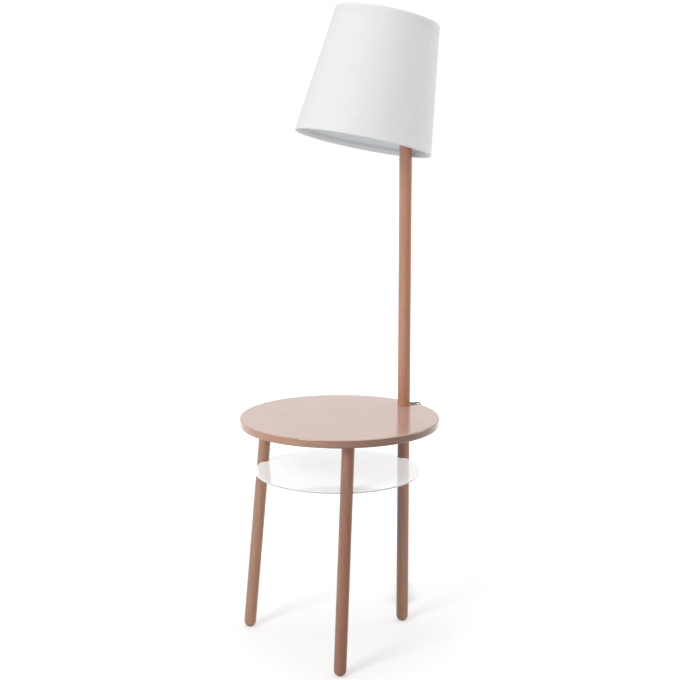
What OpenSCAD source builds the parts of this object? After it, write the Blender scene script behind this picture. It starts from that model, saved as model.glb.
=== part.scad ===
// Floor lamp with a round side table: three bullet-ended legs, a thin lower shelf,
// a mast over one leg and a drum shade that tilts on a clevis.
// X runs from the table's centre towards the mast, and the floor is at z = 0.

/* [Table] */
// Diameter of the table top
table_d = 450; // [430:5:470]
// Thickness of the table top
table_t = 18; // [17:0.5:22]
// Height of the table's upper face
table_h = 526; // [500:1:550]
// Radius of the rounded rim edges
table_edge = 3; // [1:0.5:5]

/* [Legs] */
// Diameter of every leg
leg_d = 28; // [26:0.5:30]
// Distance from the table's rim in to the axis of each leg's top
leg_inset = 40.6; // [36:0.2:48]
// Outward lean of the two splayed legs
splay = 5; // [2:0.2:6]
// Amount cut flat from the round foot
foot_cut = 0.6; // [0.4:0.1:1.5]

/* [Shelf] */
// Height of the shelf disc's upper face
shelf_h = 403; // [370:1:430]
// Thickness of the shelf disc
shelf_t = 4; // [3:0.5:6]
// Depth of the kerf that holds the disc in each leg
kerf_depth = 11.4; // [8:0.1:14]

/* [Mast] */
// Diameter of the mast
mast_d = 29; // [27:0.5:31]
// Length of the mast above the table
mast_len = 821.5; // [780:0.5:880]
// Width of the cable groove in mast and leg
groove_w = 3.6; // [3.5:0.1:4.5]
// Depth of the cable groove
groove_depth = 4; // [3.9:0.1:5]
// Height of the groove's lower end above the floor
groove_end = 54; // [40:1:56]

/* [Screws] */
// Diameter of the studs
stud_d = 8; // [6:1:8]
// Outer diameter of the threaded inserts
insert_d = 11; // [11:0.5:13]
// Length of the inserts in mast and leg ends
insert_len = 25; // [20:1:30]
// Length of the inserts in the table's underside
short_insert_len = 13; // [10:0.5:14]
// Wood screw length of the splayed legs' studs
leg_stud_grip = 30; // [25:1:40]

/* [Shade] */
// Outer diameter of the shade's top
shade_top_d = 233; // [220:1:250]
// Outer diameter of the shade's bottom
shade_bottom_d = 306; // [302:1:312]
// Height of the shade along its axis
shade_h = 281; // [270:1:290]
// Thickness of the cloth cover
cloth_t = 0.8; // [0.6:0.1:1]
// Thickness of the stiff liner
film_t = 0.8; // [0.5:0.1:1.2]
// Diameter of the frame wires
wire_d = 3; // [2.5:0.5:4]
// Lean of the shade as photographed
lean = 13.8; // [0:0.2:14]
// Distance from the tilt pin to the shade's axis
arm_reach = 62.5; // [58:0.5:63]
// Height of the shade's top plane over the tilt pin
shade_rise = 30; // [28:0.5:34]

/* [Tilt joint] */
// Height of the tilt pin over the mast's top
pin_rise = 17; // [16:0.5:22]
// Diameter of the tilt pin
pin_d = 6; // [5:0.5:6]
// Thickness of the tongue
tongue_t = 6; // [5:0.5:8]
// Radius of tongue and cheeks round the pin
knuckle_r = 9; // [8:0.5:10]
// Thickness of the friction washers
washer_t = 1; // [0.8:0.1:1.5]
// Thickness of the bracket's cheeks
cheek_t = 2.5; // [2:0.5:3]
// Thickness of the bracket's web
web_t = 3; // [2:0.5:4]

/* [Lampholder] */
// Outer diameter of the holder's threaded skirt
skirt_d = 40; // [39:0.5:42]
// Diameter of the nipple
nipple_d = 10; // [9:0.5:11]
// Diameter of the bulb
bulb_d = 60; // [55:1:62]
// Length of the bulb with its base
bulb_len = 110; // [100:1:115]
// Diameter of the bulb's screw base
base_d = 26; // [25:0.5:26.5]
// Diameter of the turn key
key_d = 10; // [8:0.5:12]

/* [Cord] */
// Diameter of the cord and leads
cord_d = 3; // [2.8:0.1:3]
// Number of loops in the hank
hank_loops = 6; // [3:1:8]
// Distance between the hank's folds
hank_run = 56; // [44:2:60]
// Radius of the hank's folds
fold_r = 9.5; // [9:0.5:10]
// Rise from one loop to the next
loop_pitch = 3.6; // [3.5:0.1:4.5]
// How far the tie draws the runs in
waist = 3.5; // [2:0.5:4]
// Width of the plug
plug_w = 24; // [22:1:25]
// Height of the plug
plug_h = 16; // [14:1:18]
// Length of the plug's body
plug_len = 30; // [26:1:36]

/* [Hidden] */
$fn = 96;

// Clearances: loose between pieces, slip in bores, run at the tilt pin
loose = 0.3;
slip = 0.1;
run = 0.05;
eps = 0.01;

leg_r = leg_d / 2;
leg_ring = table_d / 2 - leg_inset;
mast_r = mast_d / 2;
table_r = table_d / 2;
table_under = table_h - table_t;
mast_top = table_h + mast_len;
pin_z = mast_top + pin_rise;

top_r = shade_top_d / 2;
bottom_r = shade_bottom_d / 2;
shade_max_x = leg_ring + (top_r - arm_reach) * cos(lean) + shade_rise * sin(lean);
box_x = (shade_max_x - table_r) / 2;

// Foot centre of each round end, and the drop from the table to it
ball_z = leg_r - foot_cut;
leg_drop = table_under - ball_z;

// Place of the splayed legs' axes at the shelf's middle, and the circle through all three
shelf_mid = shelf_h - shelf_t / 2;
lean_out = (table_under - shelf_mid) * tan(splay);
side_x = leg_ring * cos(60) + lean_out * cos(30);
side_y = leg_ring * sin(60) + lean_out * sin(30);
shelf_x = (leg_ring ^ 2 - side_x ^ 2 - side_y ^ 2) / (2 * (leg_ring + side_x));
shelf_r = leg_ring - shelf_x - leg_r + kerf_depth;

stud_reach = insert_len + 6;
cap_t = 3;
tongue_w = 2 * knuckle_r;
cheek_in = tongue_t / 2 + washer_t + 2 * slip;
cheek_out = cheek_in + cheek_t;
plate_r = 15;
web_end = 18;
web_s = 26;
hex_flats = 10;
bolt_head = 4;
nut_t = 5;

// Depths under the shade's top plane of the pieces on its axis
nipple_s = [21, 39];
nipple_nut_t = 3;
cap_s = [web_s + web_t, 54];
key_s = 45;
flange_s = [54, 56];
skirt_end = 88;
core_s = [50, 84];
contact_s = 58;
base_s = [contact_s, 86];
bulb_end = contact_s + bulb_len;
fitter_t = 2;
fitter_s = flange_s[1] + loose;
fitter_r = 26;
ring_nut_t = 6;

// Entry of the lead into the mast, below the tilt pin, and its slope
entry_drop = 51;
entry_slope = 33;
bore_d = 5.6;

// Strip behind the mast leg in which the cord lies on the floor, and its heading
heading = 51.6;
cord_z = 2.7;
hank_w = 112;
hank_lead = 14;
plug_at = 212;
plug_z = 8.5;
tie_t = 0.6;
tie_w = 8;

module centred() {
    translate([-box_x, 0, 0]) children();
}

module on_mast() {
    centred() translate([leg_ring, 0, 0]) children();
}

module head() {
    on_mast() translate([0, 0, pin_z]) rotate([0, lean, 0]) children();
}

// Children grow downwards from depth s on the shade's axis
module hung(s) {
    head() translate([-arm_reach, 0, shade_rise - s]) mirror([0, 0, 1]) children();
}

module strip(w) {
    on_mast() rotate([0, 0, heading]) translate([w, 0, 0]) children();
}

module tube(d_out, d_in, h) {
    difference() {
        cylinder(d = d_out, h = h);
        translate([0, 0, -1]) cylinder(d = d_in, h = h + 2);
    }
}

module hexagon(flats, h) {
    cylinder(d = flats / cos(30), h = h, $fn = 6);
}

// A round bar from point a to point b
module rod(a, b, d) {
    v = b - a;
    translate(a) rotate([0, acos(v[2] / norm(v)), atan2(v[1], v[0])]) cylinder(d = d, h = norm(v));
}

module rounded_rect(w, h, r) {
    square([w - 2 * r, h], center = true);
    square([w, h - 2 * r], center = true);
    for (x = [-1, 1], y = [-1, 1]) translate([x * (w / 2 - r), y * (h / 2 - r)]) circle(r);
}

// Tube of n sides swept along points p, with its rings square to the path
function unit(v) = v / norm(v);
function heading_at(p, i) = unit(p[min(i + 1, len(p) - 1)] - p[max(i - 1, 0)]);
function ring_at(p, i, r, n, ref) =
    let (t = heading_at(p, i), a = unit(cross(t, ref)), b = cross(t, a))
    [for (k = [0 : n - 1]) p[i] + r * cos(360 * (k + 0.5) / n) * a + r * sin(360 * (k + 0.5) / n) * b];

module sweep(p, d, n, ref) {
    m = len(p);
    points = [for (i = [0 : m - 1]) each ring_at(p, i, d / 2, n, ref)];
    sides = [for (i = [0 : m - 2], k = [0 : n - 1])
        let (a = i * n + k, b = i * n + (k + 1) % n)
        each [[a, a + n, b], [b, a + n, b + n]]];
    caps = [for (k = [1 : n - 2])
        each [[0, k, k + 1], [(m - 1) * n, (m - 1) * n + k + 1, (m - 1) * n + k]]];
    polyhedron(points = points, faces = concat(sides, caps));
}

// Routes. Mast points are x and z from the mast's axis and the floor
function raised(list, x) = [for (q = list) [q[0] + x, 0, q[1] + table_h]];
function on_strip(list) = [for (q = list)
    [q[0] * cos(heading) - q[1] * sin(heading), q[0] * sin(heading) + q[1] * cos(heading), q[2]]];

// The first points rise or fall from the table's face, and those of rim_turn lie from its rim
groove_x = 12.3;
drop_top = 21;
over_table = [
    [groove_x, drop_top], [groove_x, 13], [14, 7], [19, 3], [26, 2], [34, 2]
];
rim_turn = [
    [-1, 2], [4.4, 0.4], [8.8, -4.5], [10.4, -12], [8.4, -19.5], [3.4, -26], [-4.6, -31],
    [-14.6, -36], [-22.6, -42], [-26.9, -49], [-28.8, -57]
];
leg_lead_x = 11.8;
down_leg = [for (z = [table_h - 67 : -9 : 84]) [leg_lead_x, 0, z]];
leaving_leg = [
    [11.9, 0, 77], [12.6, 0, 70], [14, 0, 63], [15.7, 0, 57], [16.4, 1.6, 51], [17, 5.5, 44],
    [18.5, 11.5, 35], [21.5, 19, 25.5], [25.5, 27.5, 16], [30, 36, 8.6]
];
floor_run = [
    [57, -1, 4.2], [66, -2.5, 2.8], [76, -5.5, 2.7], [85, -8.5, 2.7], [92, -9.5, 2.7], [98, -9.5, 2.7]
];
drop_route = concat(raised(over_table, 0), raised(rim_turn, leg_inset), down_leg, leaving_leg, on_strip(floor_run));

hank_top = cord_z + hank_loops * loop_pitch;
tail_route = [
    [hank_w + hank_run + 6, -fold_r, hank_top], [hank_w + hank_run + 8, -fold_r, hank_top], [182, -9, hank_top - 1], [188, -6, 18.5],
    [194, -3, 14], [200, -1, 10.5], [207, 0, plug_z], [plug_at, 0, plug_z]
];

// Lead routes are x and z from the tilt pin, first in the tilting head and then in the mast
function leaned(list) = [for (q = list) [q[0] * cos(lean) + q[1] * sin(lean), q[1] * cos(lean) - q[0] * sin(lean)]];
in_head = [
    [-arm_reach, 11], [-arm_reach, 14], [2.5 - arm_reach, 19.7], [8.5 - arm_reach, 22.2], [-43, 20.8],
    [-30, 16.2], [-19.2, 9.6], [-14.4, 2]
];
lead_join = [-10, -53.5];
head_route = concat(leaned(in_head), [
    [-13.4, -2.5], [-16, -9], [-18.2, -16], [-19.3, -26], [-19.3, -36], [-18.8, -45.4], [-14.8, -50.4], lead_join]);
bore_route = [
    lead_join + [0.1, -0.07], [4, -62.6], [8, -65.6], [10.7, -69.4], [12, -74], [groove_x, -79],
    [groove_x, drop_top + table_h - pin_z]
];
function from_pin(list) = [for (q = list) [q[0], 0, q[1] + pin_z]];

// One turn of the hank: out along -v, round, back along +v with the climb, and round
run_steps = 8;
fold_steps = 4;
steps = 2 * (run_steps + fold_steps);
function pinch(u) = waist * (0.5 - 0.5 * cos(360 * u));
function hank_point(i) =
    let (turn = floor(i / steps), k = i % steps, base = cord_z + turn * loop_pitch)
    k < run_steps ? let (u = k / (run_steps - 1)) [u * hank_run, -fold_r + pinch(u), base]
    : k < run_steps + fold_steps ? let (a = -90 + 180 * (k - run_steps + 1) / (fold_steps + 1))
        [hank_run + fold_r * cos(a), fold_r * sin(a), base]
    : k < 2 * run_steps + fold_steps ? let (u = (k - run_steps - fold_steps) / (run_steps - 1))
        [(1 - u) * hank_run, fold_r - pinch(u), base + u * loop_pitch]
    : let (a = 90 + 180 * (k - 2 * run_steps - fold_steps + 1) / (fold_steps + 1))
        [fold_r * cos(a), fold_r * sin(a), base + loop_pitch];
hank_route = concat(
    [[-hank_lead, -fold_r, cord_z]],
    [for (i = [0 : hank_loops * steps + run_steps - 1]) hank_point(i)],
    [[hank_run + 6, -fold_r, hank_top]]);
hank_gap = min([for (i = [0 : 2 : len(hank_route) - 1], j = [i + 9 : len(hank_route) - 1])
    norm(hank_route[i] - hank_route[j])]) - cord_d;
function length_of(p) = [for (i = 1, s = 0; i <= len(p); s = i < len(p) ? s + norm(p[i] - p[i - 1]) : s, i = i + 1) s];
echo(least_gap_in_hank = hank_gap, hank_length = max(length_of(hank_route)),
    drop_length = max(length_of(drop_route)), tail_length = max(length_of(tail_route)));

// Wooden pieces

module top_profile() {
    square([table_r - table_edge, table_t]);
    translate([0, table_edge]) square([table_r, table_t - 2 * table_edge]);
    for (z = [table_edge, table_t - table_edge]) translate([table_r - table_edge, z]) circle(table_edge);
}

module splayed_leg_place(side) {
    translate([leg_ring * cos(120), side * leg_ring * sin(120), table_under]) children();
}

module table_top() {
    color("#b98f78") centred() difference() {
        translate([0, 0, table_under]) rotate_extrude() top_profile();
        translate([leg_ring, 0, table_under - 1]) cylinder(d = stud_d + 1, h = table_t + 2);
        for (side = [-1, 1]) splayed_leg_place(side) translate([0, 0, -1])
            cylinder(d = insert_d + 2 * slip, h = short_insert_len + 1 + loose);
    }
}

// Slot with a round bottom along the back of a round bar of radius r
module back_groove(r, z0, z1) {
    floor_x = r - groove_depth + groove_w / 2;
    translate([floor_x, -groove_w / 2, z0]) cube([groove_depth + 1, groove_w, z1 - z0]);
    translate([floor_x, 0, z0]) cylinder(d = groove_w, h = z1 - z0);
}

// Bore for an insert and, beyond it, for the stud's end, going up
module insert_bore(depth) {
    translate([0, 0, -1]) cylinder(d = insert_d + 2 * slip, h = insert_len + loose + 1);
    cylinder(d = stud_d + 2 * loose, h = depth);
}

module mast() {
    mouth = 4;
    entry_z = pin_z - entry_drop;
    ramp = 18;
    color("#a5775f") on_mast() difference() {
        translate([0, 0, table_h]) cylinder(d = mast_d, h = mast_len);
        translate([0, 0, table_h]) insert_bore(stud_reach + 2);
        translate([0, 0, mast_top]) mirror([0, 0, 1]) insert_bore(insert_len + 3);
        back_groove(mast_r, table_h - 1, entry_z - ramp + 6);
        rod([-mast_r - mouth, 0, entry_z + mouth * tan(entry_slope)],
            [mast_r - groove_depth + 1, 0, entry_z - (2 * mast_r - groove_depth + 1) * tan(entry_slope)], bore_d);
        translate([6, -groove_w / 2, entry_z - ramp - 12]) cube([mast_r, groove_w, ramp]);
    }
}

// Bar of length leg_drop hanging from z = 0, with a round end
module bullet_bar(above) {
    translate([0, 0, -leg_drop]) cylinder(d = leg_d, h = leg_drop + above);
    translate([0, 0, -leg_drop]) sphere(d = leg_d);
}

module shelf_kerf() {
    translate([shelf_x, 0, shelf_h - shelf_t - slip]) cylinder(r = shelf_r + loose, h = shelf_t + 2 * slip);
}

// Everything between the floor and the table's underside
module leg_space() {
    translate([-table_d, -table_d, 0]) cube([2 * table_d, 2 * table_d, table_under]);
}

module mast_leg() {
    color("#a5775f") centred() difference() {
        intersection() {
            translate([leg_ring, 0, table_under]) bullet_bar(0);
            leg_space();
        }
        translate([leg_ring, 0, table_under]) mirror([0, 0, 1]) insert_bore(stud_reach + 2);
        translate([leg_ring, 0, 0]) back_groove(leg_r, groove_end, table_under + 1);
        shelf_kerf();
    }
}

module splayed_leg(side) {
    color("#a5775f") centred() difference() {
        intersection() {
            splayed_leg_place(side) rotate([0, 0, side * 150]) rotate([0, -splay, 0])
                leaning_bar();
            leg_space();
        }
        splayed_leg_place(side) translate([0, 0, -leg_stud_grip - 1])
            cylinder(d = stud_d + 2 * slip, h = leg_stud_grip + 2);
        shelf_kerf();
    }
}

// A leaning leg is longer than an upright one by the cosine of its lean
module leaning_bar() {
    extra = leg_drop / cos(splay) - leg_drop;
    above = 5;
    translate([0, 0, -extra]) bullet_bar(above);
    translate([0, 0, -extra - leg_drop / 2]) cylinder(d = leg_d, h = leg_drop / 2 + above + extra);
}

module front_leg() {
    splayed_leg(-1);
}

module left_leg() {
    splayed_leg(1);
}

module shelf_disc() {
    edge = 0.5;
    color("#f4f4f2") centred() translate([shelf_x, 0, shelf_h - shelf_t]) rotate_extrude()
        polygon([[0, 0], [shelf_r - edge, 0], [shelf_r, edge], [shelf_r, shelf_t - edge],
            [shelf_r - edge, shelf_t], [0, shelf_t]]);
}

// Screws and inserts

module insert(len) {
    lip = 1;
    tube(insert_d, stud_d + 2 * slip, len);
    tube(insert_d + 2 * slip - 2 * run, stud_d + 2 * slip, lip);
}

module threaded_inserts() {
    color("#c9a24b") {
        on_mast() translate([0, 0, table_h]) insert(insert_len);
        on_mast() translate([0, 0, table_under]) mirror([0, 0, 1]) insert(insert_len);
        on_mast() translate([0, 0, mast_top]) mirror([0, 0, 1]) insert(insert_len);
        for (side = [-1, 1]) centred() splayed_leg_place(side) insert(short_insert_len);
    }
}

module mast_stud() {
    color("#9a9c9e") on_mast() translate([0, 0, table_under - stud_reach])
        cylinder(d = stud_d, h = 2 * stud_reach + table_t);
}

module leg_studs() {
    color("#9a9c9e") for (side = [-1, 1]) centred() splayed_leg_place(side)
        translate([0, 0, loose - leg_stud_grip]) cylinder(d = stud_d, h = leg_stud_grip + short_insert_len - 1);
}

module mast_ferrule() {
    stud_len = insert_len - 1;
    color("#c8cacc") on_mast() difference() {
        union() {
            translate([0, 0, mast_top - stud_len]) cylinder(d = stud_d, h = stud_len + cap_t);
            translate([0, 0, mast_top]) cylinder(d = mast_d, h = cap_t - 1);
            translate([0, 0, mast_top + cap_t - 1]) cylinder(d1 = mast_d, d2 = mast_d - 2, h = 1);
            translate([0, tongue_t / 2, pin_z]) rotate([90, 0, 0]) linear_extrude(tongue_t) {
                circle(knuckle_r);
                translate([-knuckle_r, cap_t - 1 - pin_rise]) square([tongue_w, pin_rise - cap_t + 1]);
            }
        }
        translate([0, -mast_r, pin_z]) rotate([-90, 0, 0]) cylinder(d = pin_d + 2 * run, h = mast_d);
    }
}

// Tilting bracket: a web with a round plate, and two cheeks round the pin

module cheek_profile() {
    web_z = shade_rise - web_s;
    circle(knuckle_r);
    polygon([[-2 * web_end, web_z - web_t], [-2 * web_end, web_z], [-knuckle_r / 4, knuckle_r * 0.965],
        [0, 0], [-knuckle_r / 3, -knuckle_r * 0.94]]);
}

module tilt_bracket() {
    web_z = shade_rise - web_s - web_t;
    color("#c8cacc") head() difference() {
        union() {
            translate([-arm_reach, 0, web_z]) cylinder(r = plate_r, h = web_t);
            translate([-arm_reach, -cheek_out, web_z]) cube([arm_reach - web_end, 2 * cheek_out, web_t]);
            for (y = [-cheek_in, cheek_out]) translate([0, y, 0]) rotate([90, 0, 0])
                linear_extrude(cheek_t) cheek_profile();
        }
        translate([-arm_reach, 0, web_z - 1]) cylinder(d = nipple_d + 2 * slip, h = web_t + 2);
        translate([0, -mast_r, 0]) rotate([-90, 0, 0]) cylinder(d = pin_d + 2 * run, h = mast_d);
    }
}

module pivot_bolt() {
    head_y = cheek_out + run;
    thread_end = cheek_out + nut_t + 1.5;
    color("#8d9093") head() rotate([-90, 0, 0]) {
        translate([0, 0, -head_y - bolt_head]) hexagon(hex_flats, bolt_head);
        translate([0, 0, -head_y - eps]) cylinder(d = pin_d, h = head_y + thread_end);
    }
}

module pivot_nut() {
    color("#8d9093") head() rotate([-90, 0, 0]) translate([0, 0, cheek_out + run]) difference() {
        union() {
            hexagon(hex_flats, nut_t - 1);
            cylinder(d = hex_flats - 1, h = nut_t);
        }
        translate([0, 0, -1]) cylinder(d = pin_d + 2 * run, h = nut_t + 2);
    }
}

module friction_washers() {
    color("#2b2b2c") head() for (side = [-1, 1]) rotate([-90 * side, 0, 0])
        translate([0, 0, tongue_t / 2 + slip]) tube(12, pin_d + 2 * slip, washer_t);
}

// Lampholder, hanging down the shade's axis

module holder_nipple() {
    color("#c9a24b") hung(nipple_s[0]) tube(nipple_d, nipple_d - 3, nipple_s[1] - nipple_s[0]);
}

module nipple_nut() {
    color("#c9a24b") hung(web_s - nipple_nut_t) difference() {
        hexagon(14, nipple_nut_t);
        translate([0, 0, -1]) cylinder(d = nipple_d + 2 * slip, h = nipple_nut_t + 2);
    }
}

module cord_grip() {
    flange = 2;
    color("#1f1f20") hung(nipple_s[0] - flange) difference() {
        union() {
            cylinder(d = nipple_d, h = flange);
            cylinder(d = nipple_d - 3 - 2 * slip, h = flange + 8);
        }
        translate([0, 0, flange - 1.7]) cylinder(d = cord_d + 2 * slip, h = 12);
        translate([0, 0, -1]) cylinder(d = cord_d + 2 * slip, h = 1.3);
    }
}

module lampholder_cap() {
    wall = 2;
    shoulder = 11;
    h = cap_s[1] - cap_s[0];
    outer = skirt_d / 2 - 0.5;
    color("#e9e8e4") hung(cap_s[0]) difference() {
        rotate_extrude() difference() {
            polygon([[nipple_d / 2 + slip, 0], [plate_r - 1, 0], [plate_r, 1], [outer, shoulder], [outer, h],
                [nipple_d / 2 + slip, h]]);
            polygon([[nipple_d, 3], [plate_r - wall, 3], [outer - wall, shoulder + 1], [outer - wall, h + 1],
                [0, h + 1], [0, 11], [nipple_d, 11]]);
        }
        translate([0, 0, key_s - cap_s[0]]) rotate([-90, 0, 0]) cylinder(d = 3 + 2 * run, h = skirt_d);
    }
}

module lampholder_skirt() {
    wall = 1.6;
    color("#e9e8e4") hung(flange_s[0]) {
        tube(skirt_d + 6, skirt_d - 2 * wall, flange_s[1] - flange_s[0]);
        tube(skirt_d, skirt_d - 2 * wall, skirt_end - flange_s[0]);
    }
}

module lampholder_core() {
    core_d = skirt_d - 5 - 2 * slip;
    color("#ddd9d0") hung(core_s[0] + 3) difference() {
        cylinder(d = core_d, h = core_s[1] - core_s[0] - 3);
        translate([0, 0, contact_s - core_s[0] - 4]) cylinder(d = base_d + 3.6, h = core_s[1]);
    }
}

module screw_shell() {
    start = contact_s + 1;
    color("#c9a24b") hung(start) tube(base_d + 3.2, base_d + 2, core_s[1] - start - 1);
    color("#c9a24b") hung(contact_s - 1 + loose) cylinder(d = 8, h = 1 - 2 * loose);
}

module shade_ring_nut() {
    notches = 12;
    color("#e9e8e4") hung(fitter_s + fitter_t + loose) difference() {
        tube(2 * fitter_r, skirt_d + 2 * slip, ring_nut_t);
        for (k = [0 : notches - 1]) rotate([0, 0, 360 * k / notches]) translate([fitter_r + 1, 0, -1])
            cylinder(d = 5, h = ring_nut_t + 2);
    }
}

module bulb_base() {
    ridges = 5;
    h = base_s[1] - base_s[0];
    ridge_r = 1.1;
    color("#b9b9b6") hung(base_s[0]) rotate_extrude() {
        polygon([[0, 0], [4, 0], [5, 1], [9, 4], [base_d / 2 - 0.8, 6], [base_d / 2 - 0.8, h], [0, h]]);
        for (k = [0 : ridges - 1]) translate([base_d / 2 - ridge_r, 8 + 3.6 * k]) circle(ridge_r);
    }
}

module bulb_globe() {
    r = bulb_d / 2;
    neck_r = base_d / 2 + 0.3;
    centre_h = bulb_end - r - base_s[1];
    tangent = atan2(centre_h, neck_r) - acos(r / norm([centre_h, neck_r]));
    color("#fbfaf5") hung(base_s[1] + eps) rotate_extrude() {
        polygon([[0, 0], [neck_r, 0], [r * cos(tangent), centre_h - r * sin(tangent)], [0, centre_h]]);
        intersection() {
            translate([0, centre_h]) circle(r);
            translate([0, centre_h - r]) square(2 * r);
        }
    }
}

// Shade: two wires, a spider, a stiff liner and the cloth

function cloth_r(s) = top_r + (bottom_r - top_r) * s / shade_h;
function wire_r(s) = cloth_r(s) - cloth_t - film_t - 2 * loose - wire_d / 2;

module wire_ring(s) {
    hung(s) rotate_extrude() translate([wire_r(s), 0]) circle(d = wire_d, $fn = 32);
}

module shade_fitter() {
    top_s = wire_d / 2 + 0.5;
    arm_s = fitter_s + fitter_t / 2;
    arm_d = wire_d - 0.4;
    color("#e6e6e4") {
        hung(fitter_s) tube(2 * fitter_r, skirt_d + 2 * loose, fitter_t);
        wire_ring(top_s);
        for (a = [30, 150, 270]) hung(0) rotate([0, 0, a])
            rod([fitter_r - 2, 0, arm_s], [wire_r(top_s) - 0.3, 0, top_s], arm_d);
    }
}

module shade_bottom_ring() {
    color("#e6e6e4") wire_ring(shade_h - wire_d / 2 - 0.5);
}

module drum(inset, t) {
    hung(0) rotate_extrude() polygon([[top_r - inset - t, 0], [top_r - inset, 0],
        [bottom_r - inset, shade_h], [bottom_r - inset - t, shade_h]]);
}

module shade_film() {
    color("#f6f5f1") drum(cloth_t + loose, film_t);
}

module shade_fabric() {
    color("#fbfbfa") drum(0, cloth_t);
}

// Turn key of the switch inside the holder

module switch_key() {
    stem_d = 3;
    start = skirt_d / 2 - 5;
    grip = skirt_d / 2 + 6;
    flat = 4;
    color("#1f1f20") hung(key_s) rotate([-90, 0, 0]) {
        translate([0, 0, start]) cylinder(d = stem_d, h = grip - start + 1);
        translate([0, 0, grip]) cylinder(d = 6, h = 3);
        translate([0, 0, grip + 2]) intersection() {
            cylinder(d = key_d, h = 8);
            translate([-flat / 2, -key_d, 0]) cube([flat, 2 * key_d, 8]);
        }
    }
}

// Leads and cord

module head_lead() {
    color("#2a2a2b") on_mast() sweep(from_pin(head_route), cord_d, 10, [0, 1, 0]);
}

module mast_lead() {
    color("#2a2a2b") on_mast() sweep(from_pin(bore_route), cord_d, 10, [0, 1, 0]);
}

module cord_drop() {
    color("#2a2a2b") on_mast() sweep(drop_route, cord_d, 8, [0, 1, 0]);
}

module cord_hank() {
    color("#2a2a2b") strip(hank_w) sweep(hank_route, cord_d, 6, [0, 0, 1]);
}

module cord_tail() {
    color("#2a2a2b") strip(0) sweep(tail_route, cord_d, 8, [0, 0, 1]);
}

module cord_tie() {
    inner_w = 2 * (fold_r - waist) + cord_d + 2 * loose + 0.4;
    low = cord_z - cord_d / 2 - 0.4;
    inner_h = hank_top + cord_d / 2 + 0.4 - low;
    color("#1b1b1c") strip(hank_w + hank_run / 2 - tie_w / 2) translate([0, 0, low + inner_h / 2])
        rotate([90, 0, 90]) linear_extrude(tie_w) difference() {
            rounded_rect(inner_w + 2 * tie_t, inner_h + 2 * tie_t, 2);
            rounded_rect(inner_w, inner_h, 1.4);
        }
}

module plug_body() {
    neck_len = 8;
    nose_r = 4;
    color("#2a2a2b") strip(plug_at) translate([0, 0, plug_z]) intersection() {
        rotate([90, 0, 90]) linear_extrude(plug_len) rounded_rect(plug_w, plug_h, 4);
        translate([0, 0, -plug_h]) linear_extrude(2 * plug_h) {
            translate([neck_len, -plug_w / 2]) square([plug_len - neck_len, plug_w]);
            translate([neck_len + eps, 0]) intersection() {
                circle(plug_w / 2);
                translate([-neck_len, -plug_w]) square([neck_len, 2 * plug_w]);
            }
            translate([0, -nose_r]) square([neck_len, 2 * nose_r]);
        }
    }
}

module plug_pins() {
    pin_gap = 12.7;
    pin_len = 17;
    color("#c9a24b") strip(plug_at + plug_len) for (y = [-pin_gap / 2, pin_gap / 2])
        translate([0, y - 0.75, plug_z - 3.15]) difference() {
            cube([pin_len, 1.5, 6.3]);
            translate([pin_len - 4, -1, 3.15]) rotate([-90, 0, 0]) cylinder(d = 3, h = 4);
        }
}

table_top();
mast();
mast_leg();
front_leg();
left_leg();
shelf_disc();
threaded_inserts();
mast_stud();
leg_studs();
mast_ferrule();
mast_lead();
tilt_bracket();
pivot_bolt();
pivot_nut();
friction_washers();
holder_nipple();
nipple_nut();
cord_grip();
lampholder_cap();
lampholder_skirt();
lampholder_core();
screw_shell();
shade_ring_nut();
bulb_base();
bulb_globe();
shade_fitter();
shade_bottom_ring();
shade_film();
shade_fabric();
switch_key();
head_lead();
cord_drop();
cord_hank();
cord_tie();
cord_tail();
plug_body();
plug_pins();
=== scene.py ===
# %% [markdown]
# # Floor lamp with a round side table
# The lamp is one piece of furniture: three round legs carry a lacquered table top, a thin white
# disc is let into the legs as a shelf, and a mast over one leg carries a white drum shade that
# tilts. The exact wooden and metal pieces come packed from CAD. This lesson dresses them with
# materials, and makes what a solid modeller can't: the cord, the leads, the cloth of the shade.

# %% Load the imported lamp
from math import cos, hypot, pi, radians, sin

import bmesh
import bpy
from mathutils import Matrix, Vector


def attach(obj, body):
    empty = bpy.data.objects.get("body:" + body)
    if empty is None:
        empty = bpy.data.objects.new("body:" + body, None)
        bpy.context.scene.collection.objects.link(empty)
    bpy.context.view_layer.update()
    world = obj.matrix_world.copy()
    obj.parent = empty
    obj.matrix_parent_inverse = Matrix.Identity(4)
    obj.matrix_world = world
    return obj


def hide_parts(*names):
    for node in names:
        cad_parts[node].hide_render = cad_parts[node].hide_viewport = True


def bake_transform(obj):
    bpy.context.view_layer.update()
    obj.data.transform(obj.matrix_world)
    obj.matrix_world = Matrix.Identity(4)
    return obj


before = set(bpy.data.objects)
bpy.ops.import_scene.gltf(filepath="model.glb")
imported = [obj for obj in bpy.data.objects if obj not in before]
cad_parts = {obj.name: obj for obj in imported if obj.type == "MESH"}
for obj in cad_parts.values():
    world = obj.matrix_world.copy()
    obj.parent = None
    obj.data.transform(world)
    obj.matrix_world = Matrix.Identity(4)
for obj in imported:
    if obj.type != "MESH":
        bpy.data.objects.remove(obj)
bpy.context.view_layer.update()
scene = bpy.context.scene
scene.view_settings.view_transform = "Standard"

# %% [markdown]
# The lamp's own measures, in millimetres, are repeated here once. A point written from the table's
# centre, the mast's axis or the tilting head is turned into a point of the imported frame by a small
# function, so each piece can be written in the place where a maker would measure it.

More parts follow.
